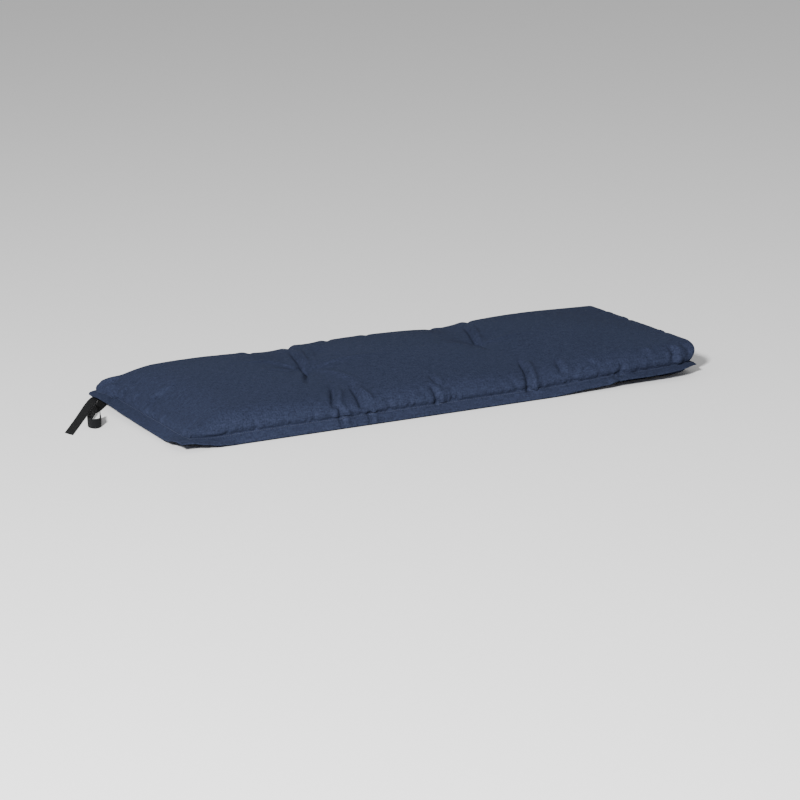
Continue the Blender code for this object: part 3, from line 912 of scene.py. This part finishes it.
def make_tail(name, table):
    """One tail of tape: a flat rounded section carried along its route and rolled about it."""
    route, length = smooth_route(table, TAPE_STEPS)
    ahead = np.gradient(route[:, :2], axis=0)
    ahead = ahead / np.linalg.norm(ahead, axis=1, keepdims=True)
    ahead = np.column_stack([ahead, np.zeros(len(ahead))])
    lean = np.radians(np.maximum(route[:, 3], UPRIGHT))
    side = np.column_stack([-ahead[:, 1] * np.cos(lean), ahead[:, 0] * np.cos(lean), np.sin(lean)])
    facing = np.cross(ahead, side)
    low = np.maximum(route[:, 2], ON_TABLE) + TAPE_WIDTH / 2 * np.abs(np.sin(lean))
    middle = np.column_stack([route[:, :2], low])
    turn = np.linspace(0.0, 2.0 * math.pi, TAPE_AROUND, endpoint=False)
    across = np.sign(np.cos(turn)) * np.abs(np.cos(turn)) ** WIDTH_POWER
    thick = np.sign(np.sin(turn)) * np.abs(np.sin(turn)) ** THICKNESS_POWER
    share = np.linspace(0.0, 1.0, TAPE_STEPS + 1)
    slant = TAPE_CUT * np.outer(share ** TAPE_CUT_POWER, across)
    points = middle[:, None] + side[:, None] * across[None, :, None] * TAPE_WIDTH / 2
    points = points + facing[:, None] * thick[None, :, None] * TAPE_THICKNESS / 2
    points = points + ahead[:, None] * slant[..., None]
    index = np.arange(points.shape[0] * TAPE_AROUND).reshape(-1, TAPE_AROUND)
    after = np.roll(index, -1, axis=1)
    faces = np.stack([index[:-1], index[1:], after[1:], after[:-1]], axis=-1)
    faces = faces.reshape(-1, 4).tolist() + [index[0].tolist(), index[-1, ::-1].tolist()]
    tail = new_mesh_object(name + "_tape", points.reshape(-1, 3), faces)
    places = np.stack(np.meshgrid(share * length, across * TAPE_WIDTH / 2, indexing="ij"), axis=-1)
    set_uv(tail.data, places.reshape(-1, 2))
    tail.data.shade_smooth()
    return tail, length


class Wiring:
    """Short calls that add a material's nodes and join them."""

    def __init__(self, material):
        material.use_nodes = True
        self.tree = material.node_tree
        self.shader = self.tree.nodes["Principled BSDF"]

    def node(self, kind, **settings):
        """A new node with the settings given."""
        node = self.tree.nodes.new(kind)
        for name, value in settings.items():
            setattr(node, name, value)
        return node

    def link(self, output, socket):
        """Join an output to a socket."""
        self.tree.links.new(output, socket)

    def math(self, operation, first, second=None):
        """One step of arithmetic on outputs or plain numbers."""
        node = self.node("ShaderNodeMath", operation=operation)
        for number, value in enumerate((first, second)):
            if value is None:
                continue
            if isinstance(value, (int, float)):
                node.inputs[number].default_value = value
            else:
                self.link(value, node.inputs[number])
        return node.outputs[0]

    def noise(self, vector, stretch, scale, detail, roughness=0.5):
        """Noise from -1 to 1, stretched along either direction of the cloth."""
        mapping = self.node("ShaderNodeMapping")
        mapping.inputs["Scale"].default_value = stretch
        self.link(vector, mapping.inputs["Vector"])
        noise = self.node("ShaderNodeTexNoise")
        noise.inputs["Scale"].default_value = scale
        noise.inputs["Detail"].default_value = detail
        noise.inputs["Roughness"].default_value = roughness
        self.link(mapping.outputs[0], noise.inputs["Vector"])
        return self.math("MULTIPLY", self.math("SUBTRACT", noise.outputs[0], 0.5), 2.0)

    def mixed(self, *parts):
        """The sum of several outputs, each times its own share."""
        total = None
        for output, share in parts:
            part = self.math("MULTIPLY", output, share)
            total = part if total is None else self.math("ADD", total, part)
        return total

    def bump(self, height, distance, strength, before=None):
        """Relief from a height, laid over any relief made before it."""
        bump = self.node("ShaderNodeBump")
        bump.inputs["Distance"].default_value = distance
        bump.inputs["Strength"].default_value = strength
        self.link(height, bump.inputs["Height"])
        if before is not None:
            self.link(before, bump.inputs["Normal"])
        return bump.outputs[0]

    def scaled_colour(self, colour, factor):
        """A colour times a factor that varies over the surface."""
        mix = self.node("ShaderNodeVectorMath", operation="SCALE")
        mix.inputs[0].default_value = colour
        self.link(factor, mix.inputs["Scale"])
        return mix.outputs[0]


def cloth_material(size):
    """Plain-woven cloth: two crossing sets of uneven threads, mottled, with a little sheen."""
    material = bpy.data.materials.new("woven_blue_cloth")
    wiring = Wiring(material)
    shader = wiring.shader
    places = wiring.node("ShaderNodeUVMap", uv_map="cloth").outputs[0]
    split = wiring.node("ShaderNodeSeparateXYZ")
    wiring.link(places, split.inputs[0])
    pitch = size.thread_pitch
    warp = wiring.math("SINE", wiring.math("MULTIPLY", split.outputs[0], math.pi / pitch))
    weft = wiring.math("SINE", wiring.math("MULTIPLY", split.outputs[1], math.pi / pitch))
    weave = wiring.math("MULTIPLY", warp, weft)
    slub_along = wiring.noise(places, (0.10, 1.0, 1.0), 620.0, 2.0)
    slub_across = wiring.noise(places, (1.0, 0.10, 1.0), 620.0, 2.0)
    slubs = wiring.math("ADD", slub_along, slub_across)
    mottle = wiring.noise(places, (1.0, 1.0, 1.0), 260.0, 3.0, 0.7)
    cloud = wiring.noise(places, (1.0, 1.0, 1.0), 9.0, 3.0)
    blotches = wiring.noise(places, (0.5, 1.0, 1.0), 120.0, 3.0, 0.7)
    tone = wiring.mixed(
        (slubs, 0.38), (blotches, 0.34), (mottle, 0.80), (cloud, 0.10), (weave, 0.10))
    tone = wiring.math("ADD", tone, 1.0)
    colour = wiring.scaled_colour(tuple(size.cloth_colour), tone)
    wiring.link(colour, shader.inputs["Base Color"])
    rough = wiring.math("ADD", wiring.math("MULTIPLY", mottle, 0.06), 0.84)
    wiring.link(rough, shader.inputs["Roughness"])
    relief = wiring.math("ADD", weave, wiring.math("MULTIPLY", slubs, 0.8))
    lumps = wiring.noise(places, (1.0, 1.0, 1.0), 60.0, 4.0, 0.6)
    normal = wiring.bump(lumps, 0.0009, 0.5)
    normal = wiring.bump(relief, 0.00022, 0.7, normal)
    wiring.link(normal, shader.inputs["Normal"])
    shader.inputs["Specular IOR Level"].default_value = 0.02
    shader.inputs["Sheen Weight"].default_value = 0.02
    shader.inputs["Sheen Roughness"].default_value = 0.45
    shader.inputs["Sheen Tint"].default_value = (0.40, 0.52, 0.85, 1.0)
    material.diffuse_color = (*size.cloth_colour, 1.0)
    return material


def thread_material(size):
    """Sewing thread: the cloth's colour, a little lighter, with a fine twist."""
    material = bpy.data.materials.new("blue_thread")
    wiring = Wiring(material)
    places = wiring.node("ShaderNodeTexCoord").outputs["Object"]
    fibres = wiring.noise(places, (1.0, 1.0, 1.0), 1500.0, 2.0)
    tone = wiring.math("ADD", wiring.math("MULTIPLY", fibres, 0.3), 1.25)
    colour = wiring.scaled_colour(tuple(size.cloth_colour), tone)
    wiring.link(colour, wiring.shader.inputs["Base Color"])
    wiring.link(wiring.bump(fibres, 0.0001, 0.5), wiring.shader.inputs["Normal"])
    wiring.shader.inputs["Roughness"].default_value = 0.6
    material.diffuse_color = (*size.cloth_colour, 1.0)
    return material


def tape_material(size):
    """Woven tape: fine ribs across it and threads along it."""
    material = bpy.data.materials.new("woven_charcoal_tape")
    wiring = Wiring(material)
    shader = wiring.shader
    places = wiring.node("ShaderNodeUVMap", uv_map="cloth").outputs[0]
    split = wiring.node("ShaderNodeSeparateXYZ")
    wiring.link(places, split.inputs[0])
    rib = wiring.math("SINE", wiring.math("MULTIPLY", split.outputs[0], 2.0 * math.pi / RIB_PITCH))
    cord = wiring.math("SINE", wiring.math("MULTIPLY", split.outputs[1], 2.0 * math.pi / CORD_PITCH))
    relief = wiring.math("ADD", rib, wiring.math("MULTIPLY", cord, 0.4))
    fuzz = wiring.noise(places, (1.0, 1.0, 1.0), 500.0, 3.0)
    tone = wiring.math("ADD", wiring.math("MULTIPLY", relief, 0.12), 1.0)
    tone = wiring.math("ADD", tone, wiring.math("MULTIPLY", fuzz, 0.25))
    wiring.link(wiring.scaled_colour(tuple(size.tape_colour), tone), shader.inputs["Base Color"])
    wiring.link(wiring.math("ADD", wiring.math("MULTIPLY", fuzz, 0.08), 0.72),
                shader.inputs["Roughness"])
    wiring.link(wiring.bump(relief, 0.0002, 0.8), shader.inputs["Normal"])
    shader.inputs["Specular IOR Level"].default_value = 0.12
    shader.inputs["Sheen Weight"].default_value = 0.01
    shader.inputs["Sheen Roughness"].default_value = 0.4
    material.diffuse_color = (*size.tape_colour, 1.0)
    return material


def floor_material(size):
    """The floor's plain pale surface."""
    material = bpy.data.materials.new("pale_floor")
    wiring = Wiring(material)
    wiring.shader.inputs["Base Color"].default_value = (*size.floor_colour, 1.0)
    wiring.shader.inputs["Roughness"].default_value = 0.9
    wiring.shader.inputs["Specular IOR Level"].default_value = 0.2
    return material


def add_main_light(size):
    """A soft, even light from the front left, a little above the cushion."""
    data = bpy.data.lights.new("main_light", "AREA")
    data.size = size.light_size
    data.energy = size.light_power
    light = bpy.data.objects.new("main_light", data)
    bpy.context.scene.collection.objects.link(light)
    light.visible_camera = False
    light.location = Vector(LIGHT_FROM).normalized() * size.light_distance
    light.rotation_euler = Vector(LIGHT_FROM).to_track_quat("Z", "Y").to_euler()


class CushionSettings(bpy.types.PropertyGroup):
    """Sizes and looks of the filled pad"""
    rim_height: FloatProperty(
        name="Rim height", description="Height of the top where the steep sides end",
        default=0.066, unit="LENGTH")
    crown: FloatProperty(
        name="Crown", description="Extra height at the middle of the top",
        default=0.016, unit="LENGTH")
    side_bulge: FloatProperty(
        name="Side bulge", description="How far a side swells out over the seam",
        default=0.006, unit="LENGTH")
    border_width: FloatProperty(
        name="Border width", description="Flat stitched border outside the seam",
        default=0.028, unit="LENGTH")
    border_thickness: FloatProperty(
        name="Border thickness", description="Thickness of the two sheets of cloth",
        default=0.0034, unit="LENGTH")
    tuft_pull: FloatProperty(
        name="Tuft pull", description="How hard the tufts draw the top down",
        default=1.0, subtype="FACTOR")
    gather: FloatProperty(
        name="Gather", description="How strongly the seam gathers the sides",
        default=1.0, subtype="FACTOR")
    crease: FloatProperty(
        name="Crease", description="How strongly the creases show",
        default=1.45, subtype="FACTOR")
    pressure: FloatProperty(
        name="Filling pressure", description="How hard the filling presses on the cloth",
        default=4.0)
    foam_hold: FloatProperty(
        name="Foam hold", description="How firmly the filling keeps its own form",
        default=0.10, subtype="FACTOR")
    cloth_colour: FloatVectorProperty(
        name="Cloth colour", description="Colour of the woven cloth",
        default=(0.0194, 0.0242, 0.0458), subtype="COLOR")
    thread_pitch: FloatProperty(
        name="Thread pitch", description="Distance between two threads of the cloth",
        default=0.0009, unit="LENGTH", precision=5)


class TieSettings(bpy.types.PropertyGroup):
    """Looks of the ties"""
    tape_colour: FloatVectorProperty(
        name="Tape colour", description="Colour of the woven tape",
        default=(0.0050, 0.0054, 0.0062), subtype="COLOR")


class StageSettings(bpy.types.PropertyGroup):
    """The floor and the lights"""
    floor_colour: FloatVectorProperty(
        name="Floor colour", description="Colour of the plain floor",
        default=(0.93, 0.93, 0.93), subtype="COLOR")
    floor_size: FloatProperty(
        name="Floor size", description="Length of the floor's sides",
        default=30.0, unit="LENGTH")
    light_power: FloatProperty(
        name="Main light", description="Power of the light from the front left",
        default=1080.0, unit="POWER")
    light_size: FloatProperty(
        name="Light size", description="Width of the main light",
        default=0.7, unit="LENGTH")
    light_distance: FloatProperty(
        name="Light distance", description="How far the main light stands from the cushion",
        default=7.0, unit="LENGTH")
    surround: FloatProperty(
        name="Surround", description="Strength of the light from all round",
        default=0.46)


class CUSHION_OT_pad(bpy.types.Operator):
    """Make the filled pad with its stitched border"""
    bl_idname = "cushion.pad"
    bl_label = "Pad"

    def execute(self, context):
        size = context.scene.cushion
        pad, stitches = make_pad(size)
        pad.data.materials.append(cloth_material(size))
        stitches.data.materials.append(thread_material(size))
        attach(stitches, "root")
        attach(pad, "root")
        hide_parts("cushion")
        return {"FINISHED"}


class CUSHION_OT_ties(bpy.types.Operator):
    """Make the four tails of tape at the rear corners"""
    bl_idname = "cushion.ties"
    bl_label = "Ties"

    def execute(self, context):
        material = tape_material(context.scene.cushion_ties)
        for node, table in TAILS.items():
            tail, length = make_tail(node, table)
            tail.data.materials.append(material)
            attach(tail, "root")
            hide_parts(node)
        return {"FINISHED"}


class CUSHION_OT_stage(bpy.types.Operator):
    """Make the floor, the lights and the camera"""
    bl_idname = "cushion.stage"
    bl_label = "Stage"

    def execute(self, context):
        size = context.scene.cushion_stage
        half = size.floor_size / 2
        corners = np.array([(-half, -half, 0), (half, -half, 0), (half, half, 0), (-half, half, 0)])
        floor = new_mesh_object("floor", corners, [(0, 1, 2, 3)])
        floor.data.materials.append(floor_material(size))
        add_main_light(size)
        world = bpy.data.worlds.new("surround")
        world.use_nodes = True
        world.node_tree.nodes["Background"].inputs["Color"].default_value = (1.0, 1.0, 1.0, 1.0)
        world.node_tree.nodes["Background"].inputs["Strength"].default_value = size.surround
        context.scene.world = world
        data = bpy.data.cameras.new("camera")
        data.sensor_width = CAMERA_SENSOR
        data.lens = CAMERA_LENS
        camera = bpy.data.objects.new("camera", data)
        context.scene.collection.objects.link(camera)
        turn = Euler((math.radians(90.0 - CAMERA_PITCH), 0.0, -math.radians(CAMERA_AZIMUTH)))
        roll = Matrix.Rotation(math.radians(CAMERA_ROLL), 4, "Z")
        camera.matrix_world = Matrix.Translation(CAMERA_PLACE) @ turn.to_matrix().to_4x4() @ roll
        context.scene.camera = camera
        return {"FINISHED"}


class CUSHION_PT_panel(bpy.types.Panel):
    """The cushion's sizes, colours and pieces"""
    bl_idname = "CUSHION_PT_panel"
    bl_label = "Bench cushion"
    bl_space_type = "VIEW_3D"
    bl_region_type = "UI"
    bl_category = "Cushion"

    def draw(self, context):
        scene = context.scene
        parts = (
            (scene.cushion, "cushion.pad"),
            (scene.cushion_ties, "cushion.ties"),
            (scene.cushion_stage, "cushion.stage"),
        )
        for settings, operator in parts:
            box = self.layout.box()
            for name in settings.bl_rna.properties.keys():
                if name not in ("rna_type", "name"):
                    box.prop(settings, name)
            box.operator(operator)


CLASSES = (
    CushionSettings, TieSettings, StageSettings,
    CUSHION_OT_pad, CUSHION_OT_ties, CUSHION_OT_stage, CUSHION_PT_panel,
)


def register():
    """Add the settings, operators and panel to Blender."""
    for cls in CLASSES:
        bpy.utils.register_class(cls)
    bpy.types.Scene.cushion = PointerProperty(type=CushionSettings)
    bpy.types.Scene.cushion_ties = PointerProperty(type=TieSettings)
    bpy.types.Scene.cushion_stage = PointerProperty(type=StageSettings)


def unregister():
    """Remove what register added."""
    del bpy.types.Scene.cushion_stage
    del bpy.types.Scene.cushion_ties
    del bpy.types.Scene.cushion
    for cls in reversed(CLASSES):
        bpy.utils.unregister_class(cls)


def main():
    """Make every piece."""
    register()
    bpy.ops.cushion.stage()
    bpy.ops.cushion.pad()
    bpy.ops.cushion.ties()


if __name__ == "__main__":
    main()
